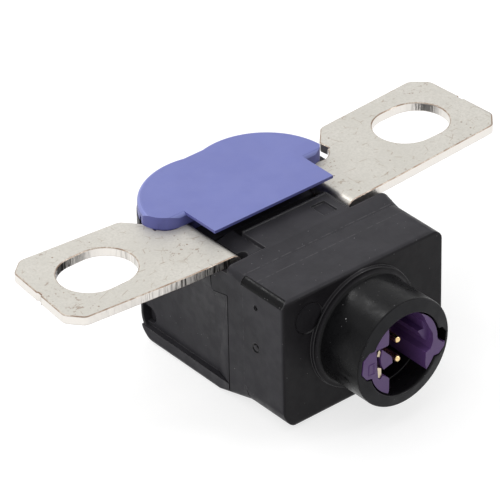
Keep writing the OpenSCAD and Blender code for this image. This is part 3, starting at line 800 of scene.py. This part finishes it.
# %% Dusty black plastic
BLACK = (0.028, 0.027, 0.031)
SHOULDER_PAINTED_DARK = (0.003, 0.003, 0.0035)
FRONT_PAINTED_SHADE = (0.014, 0.013, 0.015)
COLLAR_PAINTED_SHADE = (0.005, 0.005, 0.0055)
COLLAR_RING_PAINTED_SHADE = (0.022, 0.022, 0.024)
SEAM_BLACK = (0.002, 0.002, 0.002)
BLACK_PAINTED_HIGHLIGHT = (0.036, 0.035, 0.038)
DUST, BRIGHT_DUST = (0.16, 0.155, 0.16), (0.40, 0.39, 0.40)


def black_nylon(name, base=BLACK, rough=0.44, shade_and_marks=None, gloss=0.13):
    """Dark satin plastic with a fine grain and white dust. A piece's own painted shade and marks
    can be added.
    """
    material = plain_material(name, base, rough)
    tree = material.node_tree
    tree.nodes["Principled BSDF"].inputs["Specular IOR Level"].default_value = gloss
    colour = blend_colour(tree, clouds(tree, 4), base, tuple(1.2 * x for x in base))
    if shade_and_marks:
        colour = shade_and_marks(tree, colour)
    fine = blend_colour(tree, specks(tree, 0.55, 0.12, 0.16), colour, DUST)
    paint(tree, blend_colour(tree, specks(tree, 1.5, 0.18, 0.14), fine, BRIGHT_DUST))
    vary_roughness(tree, clouds(tree, 1.5), rough - 0.05, rough + 0.08)
    grain = relief(tree, clouds(tree, 0.16, 0.2, 0.8), 0.006, 0.5)
    relief(tree, clouds(tree, 1.1, 0.3, 0.7), 0.012, 0.35, grain)
    return material


# %% Hairlines of the front box
CREASE_Y = (-14.3 * MM, -12.1 * MM)
SIDE_LINE_Y = -12.7 * MM
LINE_HALF = 0.12 * MM


def hairline(tree, y):
    """A broken line across the piece at one place along Y."""
    away = maths(tree, "SUBTRACT", along(tree, "Object", "Y"), y)
    line = mask_between(tree, size_of(tree, away), LINE_HALF, 0)
    return times(tree, line, clouds(tree, 0.7, 0.42, 0.6))


# %% Painted shade and marks of the front box
FRONT_Y = (-20.1 * MM, -20.25 * MM)
CREASE_GREY, SIDE_LINE_GREY = (0.065, 0.063, 0.067), (0.05, 0.05, 0.052)


def front_box_shade_and_marks(tree, colour):
    """Painted shade on the front face, two pale creases on top and a line on the side."""
    # Painted shade: the front face is painted darker.
    front_painted_shade = mask_between(tree, along(tree, "Object", "Y"), *FRONT_Y)
    colour = blend_colour(tree, front_painted_shade, colour, FRONT_PAINTED_SHADE)
    on_top = mask_between(tree, along(tree, "Normal", "Z"), 0.9, 0.98)
    for y in CREASE_Y:
        crease = times(tree, hairline(tree, y), on_top)
        colour = blend_colour(tree, crease, colour, CREASE_GREY)
    on_side = mask_between(tree, along(tree, "Normal", "X"), -0.9, -0.98)
    side_line = times(tree, hairline(tree, SIDE_LINE_Y), on_side)
    return blend_colour(tree, side_line, colour, SIDE_LINE_GREY)


# %% Faces of the housing with a finish of their own
SHOULDER_Y, SHOULDER_X = (-19.9 * MM, -12.4 * MM), -11 * MM
COLLAR_Y, COLLAR_FACE_Y = -20.9 * MM, -28.0 * MM
SEAM_Y, SEAM_TOP_Z, SEAM_SIDE_X = (-10.05 * MM, -6.2 * MM), -0.2 * MM, 12.7 * MM


def left_shoulder(face):
    """The polished round edge between the top and the left side, painted near black as a painted
    reflection.
    """
    leans = face.normal.x < -0.12 and face.normal.z > 0.12 and face.center.x < SHOULDER_X
    return leans and SHOULDER_Y[0] < face.center.y < SHOULDER_Y[1]


def collar_side(face):
    """The collar all round, without the faces that look forwards, painted darker as painted shade.
    """
    return face.center.y < COLLAR_Y and face.normal.y > -0.6


def collar_face(face):
    """The ring at the collar's front end, painted a little less dark than the shaded front face.
    """
    return face.center.y < COLLAR_FACE_Y and face.normal.y < -0.8


def seam_edge(face):
    """The rounded edges on both sides of the seam, where the gap lies in shadow."""
    on_seam = SEAM_Y[0] < face.center.y < SEAM_Y[1] and face.center.z < SEAM_TOP_Z
    return on_seam and face.material_index == 1 and abs(face.center.x) > SEAM_SIDE_X


for wanted in (left_shoulder, collar_side, collar_face, seam_edge):
    give_slot(front_box, wanted)
give_slot(rear_shell, seam_edge)

# %% Finishes of the housing
# Painted highlight: the rounded edges of the housing and the ribs are painted paler than the flat
# faces.
black_painted_highlight = black_nylon("black_nylon_painted_highlight", BLACK_PAINTED_HIGHLIGHT, 0.3, gloss=0.3)
seam_black = black_nylon("black_nylon_seam", SEAM_BLACK, 0.6, gloss=0.05)
wear(
    front_box,
    black_nylon("black_nylon_front", shade_and_marks=front_box_shade_and_marks),
    black_nylon("black_nylon_front_painted_highlight", BLACK_PAINTED_HIGHLIGHT, 0.3, front_box_shade_and_marks, 0.3),
    # Painted reflection: the polished shoulder is painted near black.
    black_nylon("black_nylon_gloss", SHOULDER_PAINTED_DARK, 0.3),
    # Painted shade: the collar's sides are painted darker.
    black_nylon("black_nylon_collar", COLLAR_PAINTED_SHADE, 0.3, gloss=0.12),
    # Painted shade: the collar's front ring is set a little less dark than the front face.
    black_nylon("black_nylon_collar_face", COLLAR_RING_PAINTED_SHADE, 0.5),
    seam_black,
)
wear(rear_shell, black_nylon("black_nylon_shell"), black_painted_highlight, seam_black)
for rib in (left_rib, right_rib):
    wear(rib, black_nylon("black_nylon_" + rib.name), black_painted_highlight)
print("housing finished")

# %% [markdown]
# ## The purple retainer and its contacts
# The retainer is a small moulding in dyed nylon, so it takes the cap's finish in purple, and its
# rounded edges are painted paler as a painted highlight. Its shorting spring is bright tinned
# strip, and the two pins are gold-plated to keep the trigger circuit's resistance low for decades.

# %% The retainer
PURPLE, PURPLE_CLOUD = (0.135, 0.065, 0.22), (0.115, 0.055, 0.19)
PURPLE_PAINTED_HIGHLIGHT, PURPLE_HIGHLIGHT_CLOUD = (0.24, 0.15, 0.34), (0.20, 0.12, 0.30)
# Painted highlight: the retainer's rounded edges are painted paler.
wear(retainer, dyed_nylon("purple_nylon", PURPLE, PURPLE_CLOUD, 0.44),
     dyed_nylon("purple_nylon_painted_highlight", PURPLE_PAINTED_HIGHLIGHT, PURPLE_HIGHLIGHT_CLOUD, 0.4))


# %% Plated contacts
def plated_metal(name, main, worn, rough, grain_mm=0.3):
    """Smooth plating with faint clouds and a fine grain."""
    material = plain_material(name, main, rough)
    tree = material.node_tree
    tree.nodes["Principled BSDF"].inputs["Metallic"].default_value = 1.0
    paint(tree, blend_colour(tree, clouds(tree, 1.2), main, worn))
    vary_roughness(tree, clouds(tree, 0.8), rough - 0.05, rough + 0.08)
    relief(tree, clouds(tree, grain_mm, 0.2, 0.8), 0.004, 0.4)
    return material


gold = plated_metal("gold_plating", (0.90, 0.68, 0.36), (0.80, 0.58, 0.30), 0.2)
wear(upper_contact, gold)
wear(lower_contact, gold)
wear(contact_spring, plated_metal("spring_strip", (0.66, 0.58, 0.44), (0.56, 0.47, 0.34), 0.34))
print("connector finished")

# %% [markdown]
# ## The hidden pieces
# Nothing inside can be seen, but the part may be opened or cut, so every solid carries the
# finish of its real material: turned steel, pale piston plastic, rubber rings, a glass seal
# and a pressed grey charge.

# %% Steel, rubber, glass and charge
def rough_solid(name, main, worn, rough, lump_mm, height_mm):
    """A matt material with clouds of colour and a grain."""
    material = plain_material(name, main, rough)
    tree = material.node_tree
    paint(tree, blend_colour(tree, clouds(tree, 4 * lump_mm), main, worn))
    vary_roughness(tree, clouds(tree, 2 * lump_mm), rough - 0.06, rough + 0.06)
    relief(tree, clouds(tree, lump_mm, 0.2, 0.8), height_mm, 0.5)
    return material


turned_steel = plated_metal("turned_steel", (0.60, 0.60, 0.61), (0.52, 0.52, 0.53), 0.32, 0.5)
inner_black = black_nylon("black_nylon_inner")
rubber = rough_solid("seal_rubber", (0.03, 0.03, 0.03), (0.045, 0.045, 0.043), 0.7, 0.2, 0.01)
glass = rough_solid("seal_glass", (0.05, 0.11, 0.10), (0.06, 0.14, 0.12), 0.12, 0.3, 0.002)
charge = rough_solid("pressed_charge", (0.11, 0.09, 0.07), (0.16, 0.13, 0.10), 0.85, 0.12, 0.03)
pale_plastic = dyed_nylon("piston_plastic", (0.66, 0.62, 0.54), (0.61, 0.57, 0.49), 0.45)

HIDDEN_FINISHES = {
    "die_block": inner_black,
    "catch_block": inner_black,
    "initiator_holder": inner_black,
    "initiator_header": turned_steel,
    "initiator_cup": turned_steel,
    "pressure_sleeve": turned_steel,
    "glass_seal": glass,
    "initiator_charge": charge,
    "initiator_o_ring": rubber,
    "piston_o_ring": rubber,
    "cutter_piston": pale_plastic,
}
for node, material in HIDDEN_FINISHES.items():
    wear(frame["nodes"][node], material)
print(len(HIDDEN_FINISHES), "hidden pieces finished")
